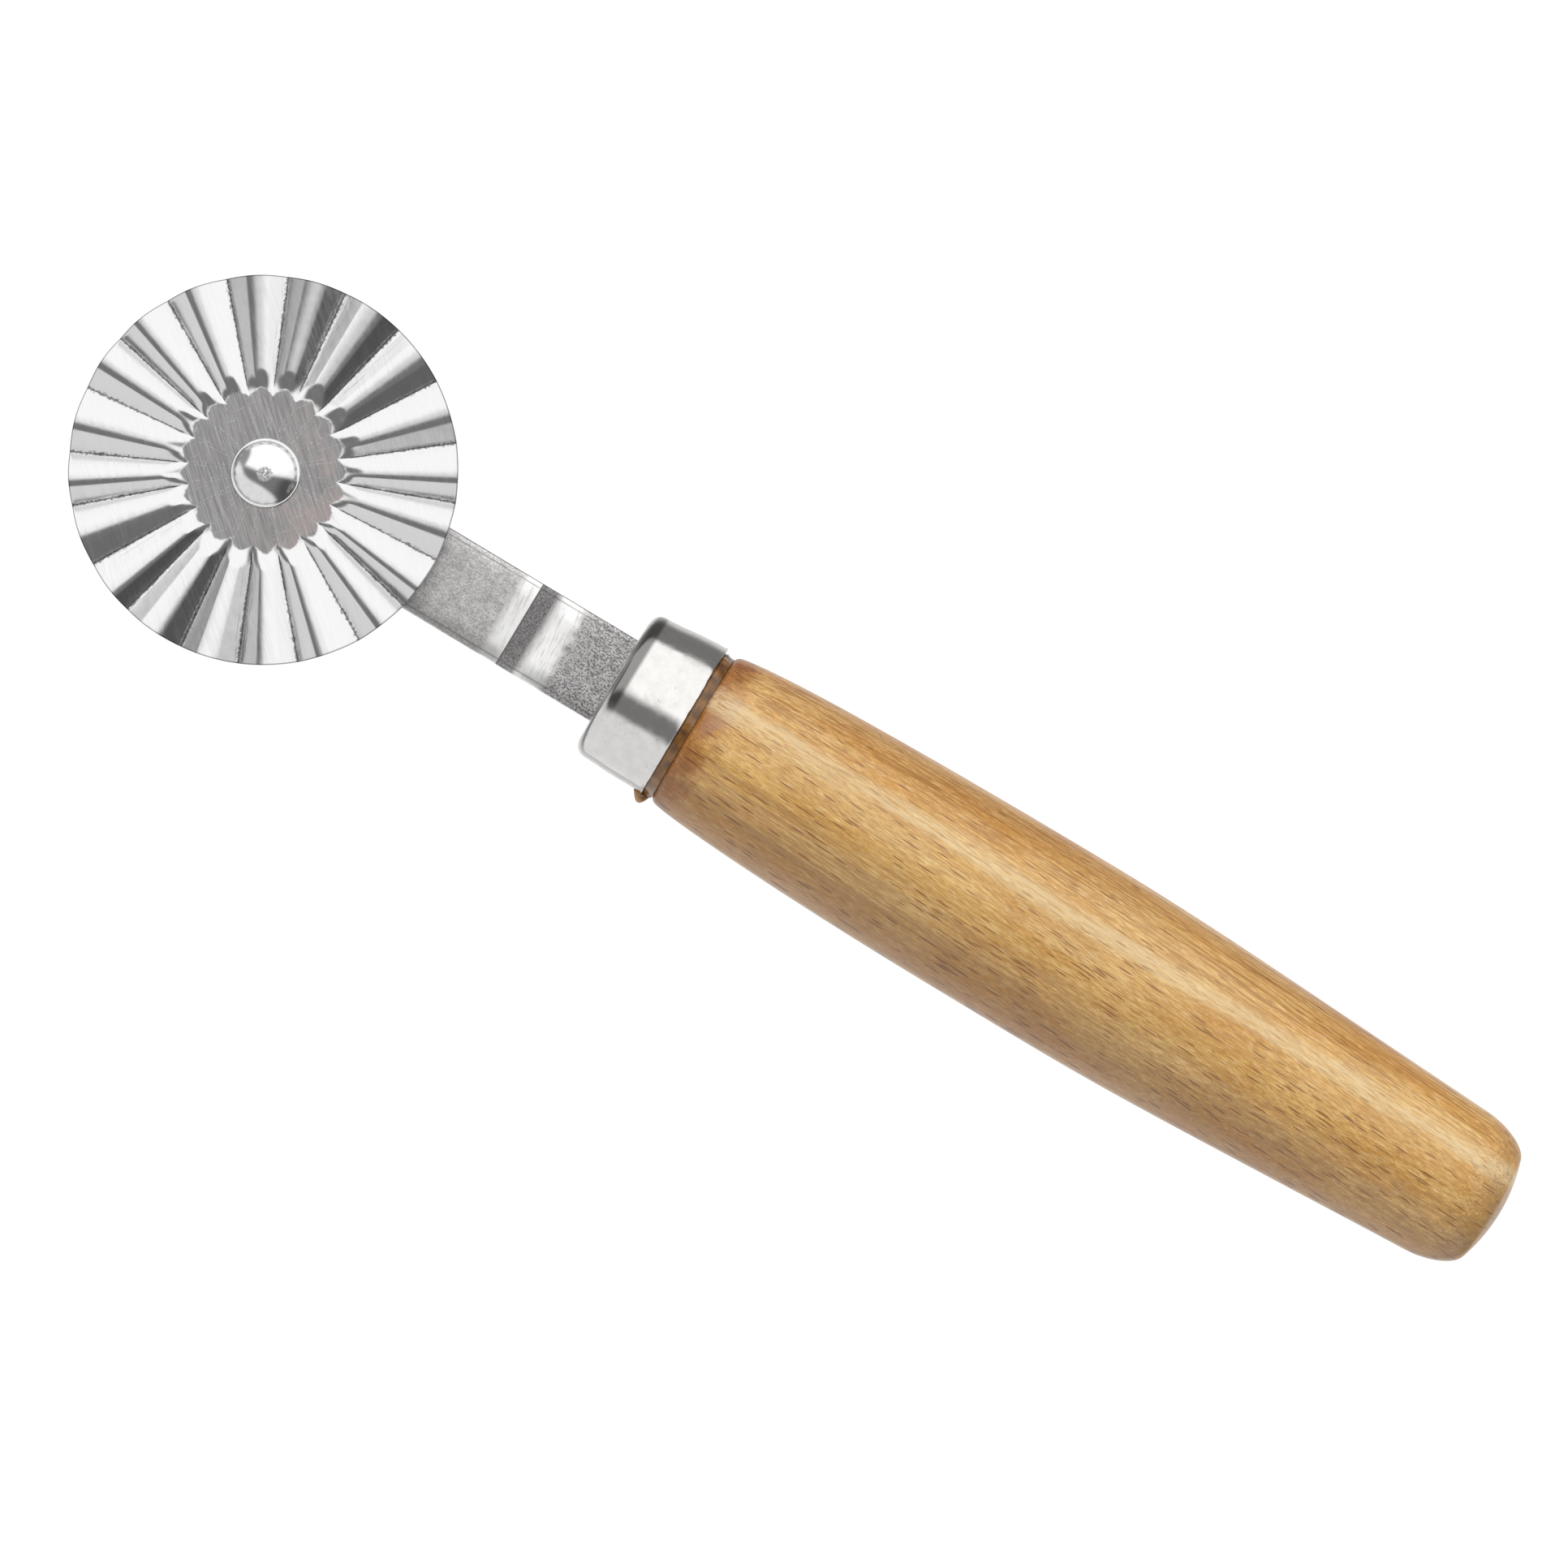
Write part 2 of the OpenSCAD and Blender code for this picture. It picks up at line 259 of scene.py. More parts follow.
def beech_wear(t, at, x, y, z, cloud, colour):
    """Brown stain next to the ferrule, a pale rubbed mark in it, and a soiled butt."""
    edge = t.noise(at, (1.6, 2.2, 2.2), 3, 0.6)
    from_neck = t.math("SUBTRACT", x, NECK_END)
    stain = t.step(t.math("SUBTRACT", from_neck, t.times(edge, 6.0)), 1.2, -2.2)
    colour = t.mix(stain, colour, (0.60, 0.42, 0.26), "MULTIPLY")
    mark = t.times(t.within(from_neck, 0.9, 4.0, 0.7), t.within(y, 0.2, 5.2, 1.2))
    mark = t.times(mark, t.step(z, 0, 3))
    mark = t.times(mark, t.step(edge, 0.35, 0.62, (0, 0.25)))
    colour = t.mix(mark, colour, (0.62, 0.46, 0.32))
    soil = t.step(x, BUTT_X - 5.5, BUTT_X - 0.8, (0, 0.75))
    return t.mix(t.times(soil, t.step(cloud, 0.3, 0.7)), colour, (0.27, 0.15, 0.07))


def beech_light(t, y, z, band, broken, colour):
    """How light falls along the handle in the photo: a pale streak, and darker flanks."""
    colour = t.mix(t.step(y, 4.5, 9.5), colour, (0.72, 0.66, 0.60), "MULTIPLY")
    pale = t.within(t.math("MULTIPLY_ADD", band, 2.0, y), 3.9, 5.6, 0.7)
    pale = t.times(pale, t.step(z, -1, 3, (0, 0.55)))
    pale = t.times(pale, t.step(broken, 0.86, 1.08, (0.30, 1)))
    colour = t.mix(pale, colour, (0.86, 0.70, 0.42))
    return t.mix(t.step(y, -3.0, -8.5), colour, (0.54, 0.48, 0.45), "MULTIPLY")


def beech():
    made, t = material("beech")
    at, x, y, z = t.place()
    cloud = t.noise(at, (16, 5, 5), 4, 0.55, GRAIN, 0.6)
    band = t.noise(at, (30, 2.0, 2.0), 3, 0.5, GRAIN, 0.3)
    fibre = t.noise(at, (3.0, 0.20, 0.20), 4, 0.74, GRAIN)
    streak = t.noise(at, (13, 0.34, 0.34), 3, 0.6, GRAIN)
    fleck = beech_flecks(t, at, y)
    colour = beech_grain(t, at, y, band, fibre, streak, cloud)
    colour = t.mix(t.times(fleck, 0.80), colour, (0.26, 0.100, 0.026))
    colour = beech_wear(t, at, x, y, z, cloud, colour)
    colour = beech_light(t, y, z, band, t.math("ADD", fibre, streak), colour)
    height = t.math("MULTIPLY_ADD", fibre, 0.35, t.times(fleck, -0.8))
    skin = t.bump(t.noise(at, (7, 2.2, 2.2), 2, 0.5), 0.05)
    t.finish(
        base_color=colour,
        roughness=t.step(fibre, 0.3, 0.7, (0.42, 0.55)),
        specular_ior_level=0.35,
        normal=t.bump(height, 0.012, skin),
        coat_weight=0.5,
        coat_roughness=0.12,
        coat_ior=1.5,
        coat_normal=t.bump(t.math("MULTIPLY_ADD", fleck, -0.3, fibre), 0.004, skin),
    )
    return made


def nickel():
    made, t = material("nickel")
    at, x, y, _ = t.place()
    lines = t.noise(at, (0.07, 2.4, 2.4), 3, 0.6)
    haze = t.noise(at, (1.2, 1.2, 1.2), 4, 0.6)
    pits = t.step(t.cells(at, (0.62, 0.62, 0.62)), 0.13, 0.07)
    pits = t.times(pits, t.step(haze, 0.5, 0.58))
    colour = t.mix(t.step(haze, 0.3, 0.7), (0.68, 0.665, 0.650), (0.625, 0.610, 0.595))
    # A brownish crust on the +Y side, and small dark pits.
    crust = t.step(t.noise(at, (0.5, 0.5, 0.5), 4, 0.7), 0.61, 0.68)
    crust = t.times(crust, t.step(y, 4.5, 7))
    colour = t.mix(t.times(crust, 0.8), colour, (0.40, 0.34, 0.21))
    colour = t.mix(t.times(pits, 0.7), colour, (0.16, 0.14, 0.13))
    # The front corner is dark in the photo, where it reflects something dark.
    from_front = t.math("SUBTRACT", x, FERRULE[0][0])
    corner = t.times(t.within(from_front, 0.40, 1.55, 0.25), t.step(y, -3.8, -1.5))
    colour = t.mix(t.times(corner, 0.85), colour, (0.14, 0.135, 0.130))
    height = t.math("MULTIPLY_ADD", lines, 0.5, t.times(crust, 1.2))
    dents = t.bump(t.noise(at, (3.6, 3.6, 3.6), 2, 0.5), 0.014)
    t.finish(
        base_color=colour,
        metallic=1.0,
        roughness=t.step(haze, 0.35, 0.7, (0.10, 0.22)),
        normal=t.bump(height, 0.0035, dents),
    )
    return made


def galvanised():
    made, t = material("galvanised")
    at, x, y, _ = t.place()
    past = t.math("SUBTRACT", x, STEP_X)  # how far past the crease a point is
    coarse = t.step(past, 2.45, 8.45)
    speck = t.noise(at, (0.25, 0.19, 0.25), 4, 0.82)
    mottle = t.noise(at, (1.5, 1.0, 1.0), 4, 0.65)
    colour = t.mix(t.step(mottle, 0.35, 0.68), (0.64, 0.628, 0.620), (0.51, 0.499, 0.493))
    # Speckled, more coarsely near the ferrule, with painted shade darkening the slope of the step.
    dark = t.times(t.step(speck, 0.56, 0.42), t.math("MULTIPLY_ADD", coarse, 0.45, 0.48))
    slope = t.within(past, -0.05, 1.95, 0.12)
    dark = t.math("MAXIMUM", dark, t.times(slope, t.step(speck, 0.66, 0.38, (0.18, 0.85))))
    # Bright bands at the foot of the step and on the bend at its top: partly rubbed metal, partly a painted
    # reflection of the light.
    wear_and_glare = t.noise(at, (0.22, 3.0, 3.0), 4, 0.65, (0, 0, -0.1))
    ragged = t.math("MULTIPLY_ADD", mottle, 1.3, t.math("SUBTRACT", past, 0.65))
    foot = t.times(t.step(ragged, -2.55, -1.35), t.step(past, 0.07, -0.07))
    bend = t.times(t.step(ragged, 1.85, 2.65), t.step(ragged, 5.85, 4.75))
    bright = t.math("MAXIMUM", foot, bend)
    bright = t.times(bright, t.step(wear_and_glare, 0.34, 0.50, (0.45, 0.95)))
    dark = t.times(dark, t.math("SUBTRACT", 1.0, bright))
    # The dark specks, and the painted shade on the slope of the step.
    colour = t.mix(dark, colour, (0.13, 0.12, 0.125))
    # The bright bands: partly rubbed metal, partly painted reflection.
    colour = t.mix(bright, colour, (0.84, 0.835, 0.825))
    # A dark line inside each long edge, and a painted shade line in the crease.
    line = t.times(t.within(t.math("ABSOLUTE", y), 4.15, 4.30, 0.05), 0.5)
    line = t.math("MAXIMUM", line, t.times(t.within(past, -0.03, 0.11, 0.04), 0.85))
    colour = t.mix(line, colour, (0.14, 0.13, 0.13))
    amount = t.math("MULTIPLY_ADD", coarse, 0.5, 0.5)
    height = t.times(speck, t.times(amount, t.math("SUBTRACT", 1.0, bright)))
    t.finish(
        base_color=colour,
        metallic=0.9,
        roughness=t.step(mottle, 0.3, 0.7, (0.30, 0.42)),
        normal=t.bump(height, 0.055, t.bump(t.noise(at, (5, 4, 4), 2, 0.5), 0.08)),
    )
    return made


def loose_scratches(t, at):
    """Nearly straight lines, where a long noise crosses its middle value."""
    found = None
    for angle in (0.5, -0.9, 1.4, 2.3):
        turned = (0, 0, angle)
        off_middle = t.math("SUBTRACT", t.noise(at, (26, 1.9, 9), 1, 0.3, turned), 0.5)
        line = t.step(t.math("ABSOLUTE", off_middle), 0.008, 0.002)
        line = t.times(line, t.step(t.noise(at, (4.5, 1.4, 3), 2, 0.5, turned), 0.60, 0.64))
        found = line if found is None else t.math("MAXIMUM", found, line)
    return found


def crease_gall_and_shade(t, at, radius, flute):
    """Galling beside each crease, worst at the rim, over a painted shade line in the crease.

    Gives the dark crease line (painted shade, widened by the galling), the bright lip next to it (partly a painted
    highlight), and the distance to the crease.
    """
    gall = t.noise(at, (0.30, 0.30, 0.30), 4, 0.75)
    outward = t.step(radius, 9, 19, (0.35, 1.0))
    away = t.times(t.times(t.math("SUBTRACT", 1.0, flute), radius), math.pi / FLUTES)
    torn = t.times(t.step(gall, 0.42, 0.72), outward)
    gall_crease_shade = t.step(t.math("MULTIPLY_ADD", torn, -0.26, away), 0.07, -0.01)
    gall_crease_shade = t.times(gall_crease_shade, t.step(radius, 8.4, 9.2))
    lip = t.times(t.within(away, 0.10, 0.26, 0.05), t.step(gall, 0.50, 0.60))
    return gall_crease_shade, t.times(lip, outward), away


def scoring(t, x, y, radius, away):
    """Scores lengthwise in the flutes that point to +Y and -Y."""
    turn = t.math("ARCTAN2", y, x)
    sine = t.math("ABSOLUTE", t.math("SINE", turn))
    scored = t.times(t.step(sine, 0.80, 0.97), t.step(radius, 9, 11))
    polar = t.add("ShaderNodeCombineXYZ", {0: radius, 1: t.times(turn, 12.0)})
    score = t.step(t.noise(polar, (5.0, 0.16, 1.0), 3, 0.7), 0.55, 0.66)
    return t.times(t.times(score, scored), t.step(away, 1.1, 0.3))


def wheel_steel():
    """Brushed on the flat, bright on the flutes; the flat's darker colour is partly painted shade. The mesh's
    "flute" is 0 on a crest, 1 in a crease.
    """
    made, t = material("wheel_steel")
    at, x, y, _ = t.place()
    radius = t.vec("LENGTH", t.add("ShaderNodeCombineXYZ", {0: x, 1: y}), out=1)
    flute = t.add("ShaderNodeAttribute", out="Fac", attribute_name="flute", attribute_type="GEOMETRY")
    # The flat ends further in at each crease, with a slightly ragged edge.
    ragged = t.math("MULTIPLY_ADD", t.noise(at, (0.5, 0.5, 0.5), 3, 0.6), 0.7, radius)
    edge = t.math("MULTIPLY_ADD", t.math("POWER", flute, 1.5), 0.85, ragged)
    flat = t.step(edge, FLAT_R + 0.38, FLAT_R + 0.13)
    brush = (0, 0, math.radians(-48))
    lines = t.noise(at, (0.05, 3.4, 1.0), 3, 0.65, brush)
    broad = t.noise(at, (0.25, 6.0, 2.0), 3, 0.6, brush)
    cloud = t.noise(at, (5, 5, 5), 3, 0.55)
    scratch = t.times(loose_scratches(t, at), t.math("MULTIPLY_ADD", flat, 0.75, 0.25))
    gall_crease_shade, lip, away = crease_gall_and_shade(t, at, radius, flute)
    score = scoring(t, x, y, radius, away)
    # The flat's darker colour: its brushed tone, and partly painted shade standing in for its dim reflection.
    plain = t.mix(t.step(lines, 0.3, 0.7), (0.215, 0.210, 0.210), (0.44, 0.43, 0.43))
    plain = t.mix(t.step(broad, 0.42, 0.66, (0, 0.4)), plain, (0.21, 0.205, 0.205))
    warm = t.times(t.step(cloud, 0.46, 0.62), t.step(x, -3, 7))
    plain = t.mix(t.times(warm, 0.5), plain, (0.44, 0.365, 0.350))
    bright = t.mix(t.step(lines, 0.3, 0.72), (0.625, 0.625, 0.625), (0.655, 0.655, 0.652))
    colour = t.mix(flat, bright, plain)
    colour = t.mix(t.times(scratch, 0.6), colour, (0.66, 0.66, 0.66))
    colour = t.mix(t.times(score, 0.45), colour, (0.20, 0.19, 0.19))
    # Painted shade in the creases, and a partly painted highlight on the lips beside them, with real galling.
    colour = t.mix(lip, colour, (0.72, 0.72, 0.72))
    colour = t.mix(t.times(gall_crease_shade, 0.85), colour, (0.12, 0.115, 0.115))
    # The cut edge shows as a thin dark line.
    cut = t.step(radius, WHEEL[1][0] - 0.17, WHEEL[1][0] - 0.08, (0, 0.8))
    colour = t.mix(cut, colour, (0.13, 0.13, 0.13))
    brushed = t.math("MULTIPLY_ADD", flat, 0.45, 0.2)
    height = t.math("MULTIPLY_ADD", lines, brushed, t.times(scratch, 0.8))
    height = t.math("MULTIPLY_ADD", gall_crease_shade, -1.6, height)
    height = t.math("MULTIPLY_ADD", lip, 1.3, height)
    height = t.math("MULTIPLY_ADD", score, -1.2, height)
    waves = t.bump(t.noise(at, (3.0, 3.0, 3.0), 2, 0.5), 0.02)
    on_flutes = t.step(broad, 0.3, 0.7, (0.12, 0.22))
    on_flat = t.step(broad, 0.3, 0.7, (0.30, 0.40))
    t.finish(
        base_color=colour,
        metallic=1.0,
        roughness=t.mix(flat, on_flutes, on_flat),
        normal=t.bump(height, 0.006, waves),
    )
    return made


def rivet_steel():
    """Polished, with a small rough scar near the top of the dome."""
    made, t = material("rivet_steel")
    at = t.place()[0]
    off = t.vec("SUBTRACT", at, (HEAD_X + SCAR[0], HEAD_Y + SCAR[1], RIVET[1][2]))
    scar = t.step(t.vec("LENGTH", off, out=1), 0.95, 0.45)
    rough = t.noise(at, (0.16, 0.16, 0.16), 4, 0.7)
    haze = t.noise(at, (0.5, 0.5, 0.5), 4, 0.6)
    scar = t.times(scar, t.step(haze, 0.34, 0.52))
    colour = t.mix(t.step(haze, 0.3, 0.7), (0.72, 0.72, 0.72), (0.68, 0.68, 0.68))
    colour = t.mix(t.times(scar, t.step(rough, 0.56, 0.42)), colour, (0.22, 0.21, 0.21))
    t.finish(
        base_color=colour,
        metallic=1.0,
        roughness=t.math("MULTIPLY_ADD", scar, 0.22, t.step(haze, 0.3, 0.7, (0.10, 0.17))),
        normal=t.bump(t.times(rough, t.math("ADD", scar, 0.04)), 0.10),
    )
    return made


def bush_steel():
    made, t = material("bush_steel")
    at = t.place()[0]
    rings = t.noise(at, (2.5, 2.5, 0.06), 3, 0.6)
    haze = t.noise(at, (1.0, 1.0, 1.0), 4, 0.6)
    colour = t.mix(t.step(haze, 0.3, 0.7), (0.64, 0.63, 0.62), (0.48, 0.47, 0.46))
    t.finish(
        base_color=colour,
        metallic=1.0,
        roughness=t.step(haze, 0.3, 0.7, (0.22, 0.36)),
        normal=t.bump(rings, 0.006),
    )
    return made


def set_glue():
    made, t = material("set_glue")
    at, _, y, _ = t.place()
    cloud = t.noise(at, (1.5, 1.5, 1.5), 3, 0.5)
    colour = t.mix(t.step(cloud, 0.3, 0.7), (0.110, 0.038, 0.006), (0.34, 0.150, 0.026))
    # The drip on the -Y side is paler.
    thin = t.times(t.step(y, -8.25, -8.7), t.step(cloud, 0.2, 0.6, (0.45, 1)))
    colour = t.mix(thin, colour, (0.52, 0.28, 0.10))
    t.finish(
        base_color=colour,
        roughness=0.2,
        transmission_weight=0.25,
        ior=1.5,
        coat_weight=0.3,
        coat_roughness=0.08,
        normal=t.bump(t.noise(at, (0.9, 0.9, 0.9), 3, 0.5), 0.04),
    )
    return made


# ---- Building a skin from rings of points ----


def build(name, rings, body, node, finish, sharp=32, loop=False, flute=None):
    """Joins rings of points, each of the same count, into one closed skin.

    Its ends are capped, or with loop the last ring is joined to the first.
    Edges steeper than sharp degrees stay sharp.
    """
    count = len(rings[0])
    points = [p for ring in rings for p in ring]
    faces = []
    for i in range(len(rings) if loop else len(rings) - 1):
        a, b = i * count, (i + 1) % len(rings) * count
        faces += [(a + j, a + (j + 1) % count, b + (j + 1) % count, b + j) for j in range(count)]
    for end in () if loop else (0, len(rings) - 1):
        middle = len(points)
        points.append(np.mean(rings[end], axis=0))
        for j in range(count):
            a, b = end * count + j, end * count + (j + 1) % count
            faces.append((b, a, middle) if end == 0 else (a, b, middle))
    mesh = bpy.data.meshes.new(name)
    mesh.from_pydata(to_row(points).tolist(), [], faces)
    if flute is not None:
        layer = mesh.attributes.new("flute", "FLOAT", "POINT")
        layer.data.foreach_set("value", np.asarray(flute, np.float32))
    mesh.validate()
    piece = bpy.data.objects.new(name, mesh)
    bpy.context.scene.collection.objects.link(piece)
    face_out(piece)
    mesh.shade_smooth()
    mesh.set_sharp_from_angle(angle=math.radians(sharp))
    mesh.materials.append(finish)
    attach(piece, body)
    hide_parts(node)
    return piece


def face_out(piece):
    """Turns the faces over if they enclose a negative volume."""
    mesh = piece.data
    mesh.calc_loop_triangles()
    co = np.zeros(len(mesh.vertices) * 3)
    mesh.vertices.foreach_get("co", co)
    tri = np.zeros(len(mesh.loop_triangles) * 3, int)
    mesh.loop_triangles.foreach_get("vertices", tri)
    p = co.reshape(-1, 3)[tri.reshape(-1, 3)]
    if np.einsum("ij,ij->i", p[:, 0], np.cross(p[:, 1], p[:, 2])).sum() < 0:
        mesh.flip_normals()


def cubic(p, n):
    """Points along a cubic curve, without its first point."""
    p = np.array(p, float)
    t = (np.arange(1, n + 1) / n)[:, None]
    s = 1 - t
    return (s**3 * p[0] + 3 * s * s * t * p[1] + 3 * s * t * t * p[2] + t**3 * p[3]).tolist()


def arc(cx, cr, r, start, end, n):
    """Points along an arc about (cx, cr), from start to end degrees."""
    turn = np.radians(np.linspace(start, end, n + 1))
    return [[cx + r * math.cos(a), cr + r * math.sin(a)] for a in turn]


def angles(count):
    """Even angles for a full turn, in radians."""
    return np.arange(count) * 2 * math.pi / count


def around(x, radius, count, off_y=0):
    """A ring about the handle's axis. x and radius may be lists, one value for each point."""
    a = angles(count)
    r = radius * np.ones(count)
    return np.c_[x * np.ones(count), off_y + r * np.cos(a), r * np.sin(a)]


def about_axle(z, radius, count, off=(0, 0)):
    """A ring about the axle, or about a line that stands off it."""
    a = angles(count)
    r = radius * np.ones(count)
    return np.c_[off[0] + r * np.cos(a), off[1] + r * np.sin(a), z * np.ones(count)]


def slot_radius(count, half_y, half_z, bore=0.0):
    """Distance to a rectangular opening's edge in each direction, with its corners kept.

    Where a bore is given, the opening is nowhere narrower than that radius.
    """
    a = angles(count)
    with np.errstate(divide="ignore"):
        r = np.minimum(half_y / np.abs(np.cos(a)), half_z / np.abs(np.sin(a)))
    corner = math.atan2(half_z, half_y)
    for turn in (corner, math.pi - corner, math.pi + corner, -corner):
        k = int(round(turn % (2 * math.pi) / (2 * math.pi) * count)) % count
        r[k] = min(math.hypot(half_y, half_z), r[k] * 1.2)
    return np.maximum(r, bore)


def wavy(points, size, seed):
    """Smooth random values at points, from about -1 to 1."""
    return np.array([noise.noise(Vector(p) / size + Vector((seed, 3.1 * seed, 0))) for p in points])


# ---- Pieces ----

# Places along the handle, and its largest radius
TENON_X = HANDLE[0][0]
NECK_END = FERRULE[1][0] + 1.1
SHOULDER_X = NECK_END + 1
BUTT_X = HANDLE[1][0]
BELLY_R = HANDLE[1][1]


def handle_outline():
    """The CAD's outline drawn finer, as (x, radius), with its tenon and neck."""
    shoulder_r, waist_r, taper = 8.75, 8.25, 0.049
    belly_x, waist_x = SHOULDER_X + 41.2, BUTT_X - 6.3
    # The butt is a shallow dome, met by a rounded corner.
    dome_r, spot_r = 18, 1.2
    dome_x = BUTT_X - math.sqrt(dome_r**2 - 1.8**2)
    corner_r = 0.72 * waist_r
    corner_x = dome_x + math.sqrt(dome_r**2 - corner_r**2)
    lip = [NECK_END + 0.15, 8.36]
    shoulder, belly = [SHOULDER_X, shoulder_r], [belly_x, BELLY_R]
    waist, corner = [waist_x, waist_r], [corner_x, corner_r]
    tenon = [[TENON_X, 5.2], [TENON_X, 6.6], [TENON_X + 0.3, 7.3], [TENON_X + 1, 7.55]]
    neck = [[FERRULE[1][0], 7.7], [FERRULE[1][0], 7.86], [NECK_END, 7.9], [NECK_END, 8.16], lip]
    outline = tenon + neck
    bend = [[NECK_END + 0.3, 8.6], [SHOULDER_X - 0.3, shoulder_r - 0.05]]
    outline += cubic([lip, *bend, shoulder], 5)
    rise = 0.64 * (BELLY_R - shoulder_r)
    bend = [[SHOULDER_X + 4.94, shoulder_r + rise], [SHOULDER_X + 21.4, BELLY_R]]
    outline += cubic([shoulder, *bend, belly], 48)
    bend = [[belly_x + 0.32 * (waist_x - belly_x), BELLY_R], [waist_x - 23.7, waist_r + taper * 23.7]]
    outline += cubic([belly, *bend, waist], 48)
    bend = [[waist_x + 2.7, waist_r - taper * 2.7], [corner_x - 0.35, corner_r + 1]]
    outline += cubic([waist, *bend, corner], 16)
    for r in corner_r + (spot_r - corner_r) * np.arange(1, 9) / 8:
        outline.append([dome_x + math.sqrt(dome_r**2 - r * r), r])
    return outline


def handle(finish):
    n = 160
    # The pocket for the tang is a slot in a drilled hole, narrower towards its end.
    pocket_l, pocket_r = 37.2, 1.55
    rings = []
    for k in (1, 0.5, 0):
        rings.append(around(TENON_X + pocket_l * k, slot_radius(n, 2.31 - k, 0.85, pocket_r), n))
    for x, r in handle_outline():
        ring = around(x, r, n)
        if x > NECK_END + 0.3:
            # Hand turning leaves it a touch out of round.
            swell = 0.05 * wavy(ring, 22.0, 2.0)
            fade = min(1.0, (x - NECK_END) / 8) * min(1.0, (BUTT_X - x) / 3)
            ring[:, 1:] *= (1 + fade * swell / max(r, 2.0))[:, None]
        rings.append(ring)
    build("handle_beech", rings, "tool", "handle", finish, 40)


# The ferrule's side as (distance from its front, radius, how far it leans to +Y):
# its mouth is opened out a little more on that side.
FERRULE_SIDE = (
    (1.4, 8.25, 0.0), (3, 8.34, 0.02), (4, 8.44, 0.045), (5.5, 8.52, 0.125),
    (7, 8.57, 0.17), (7.8, 8.62, 0.15), (8.3, 8.72, 0.12),
)


def ferrule_side(x):
    """The ferrule's radius and its lean to +Y at x."""
    far, radius, lean = zip(*FERRULE_SIDE)
    back = x - FERRULE[0][0]
    return np.interp(back, far, radius), np.interp(back, far, lean)


def ferrule(finish):
    n = 192
    x0, x1 = FERRULE[0][0], FERRULE[1][0]
    wall, corner, front_r = 0.5, 1.3, 8.25
    slit = slot_radius(n, 4.92, 0.92)
    rings = [around(x0, r, n) for r in (slit, np.maximum(slit + 0.15, 3.0), front_r - corner)]
    for x, r in arc(x0 + corner, front_r - corner, corner, 180, 90, 12)[1:]:
        rings.append(around(x, r, n))
    for x in np.linspace(x0 + corner, x1 - 0.12, 26)[1:]:
        r, lean = ferrule_side(x)
        if abs(x - (x1 - 0.42)) < 0.14:
            r -= 0.035  # a fine turned line before the mouth
        rings.append(around(x, r, n, lean))
    # The mouth's edge is slightly torn, most of all between its +Y side and its top.
    base = around(x1, 8.7, n)
    tear = np.exp(-(((angles(n) - 0.72) / 0.2) ** 2))
    ragged = 0.05 * wavy(base, 0.6, 5.0) + 0.14 * tear * (0.8 + wavy(base, 0.35, 9.0))
    back = 1.4 * np.maximum(ragged, 0)
    r, lean = ferrule_side(x1)
    rings.append(around(x1 - 0.03 - back, r + 0.02, n, lean))
    rings.append(around(x1 - back, r - 0.12, n, lean))
    rings.append(around(x1, r - wall, n, lean))
    for x in np.linspace(x1, x0 + corner, 8)[1:]:
        r, lean = ferrule_side(x)
        rings.append(around(x, r - wall, n, lean))
    for x, r in arc(x0 + corner, front_r - corner, corner - wall, 90, 180, 6)[1:]:
        rings.append(around(x, r, n))
    rings.append(around(x0 + wall, slit, n))
    build("ferrule_nickel", rings, "tool", "ferrule", finish, 35, loop=True)


def arm_line(low, eye_r, tip):
    """The arm's middle line as (x, z, tilt): flat, a tight crease, the slope, a wide bend, flat."""
    steep, tight_r, bend_r = 41.0, 0.3, 5.0
    lean = math.radians(steep)
    # The middle line turns about (fx, fz) in the crease and about (bx, bz) in the bend.
    turn_r = tight_r + ARM_T / 2
    fx, fz = STEP_X - tight_r * math.tan(lean / 2), low + turn_r
    bend_x = STEP_X + (-low - bend_r * (1 - math.cos(lean))) / math.tan(lean)
    bx, bz = bend_x + bend_r * math.sin(lean), ARM_T / 2 - bend_r
    eye = -eye_r * np.cos(np.linspace(0, math.pi / 2, 20))
    line = [(x, low, 0.0) for x in (*eye, *np.linspace(1, STEP_X - 1.0, 22))]
    for a in np.radians(np.linspace(-90, steep - 90, 9)):
        line.append((fx + turn_r * math.cos(a), fz + turn_r * math.sin(a), a + math.pi / 2))
    for a in np.radians(np.linspace(steep + 90, 90, 15)):
        r = bend_r - ARM_T / 2
        line.append((bx + r * math.cos(a), bz + r * math.sin(a), a - math.pi / 2))
    flat = (*np.linspace(bx + 0.6, TENON_X - 0.02, 12), TENON_X)
    tang = (*np.linspace(TENON_X + 1, tip - 2, 10), tip - 1, tip)
    return line + [(x, 0.0, 0.0) for x in flat + tang]


def arm_section(w):
    """The bar's section as (across, up), with half width w and bevelled upper edges."""
    top = ARM_T / 2
    cut = min(0.42, w * 0.6)
    corners = [(w, 0.3 - top), (w, top - 0.3), (w - 0.10, top - 0.12), (w - cut, top)]
    section = corners + [((w - cut) * k, top) for k in (0.6, 0.2, -0.2, -0.6)]
    section += [(-v, s) for v, s in reversed(corners)]
    return section + [(-v, -top) for v in (w - cut, w * 0.3, -w * 0.3, -(w - cut))]


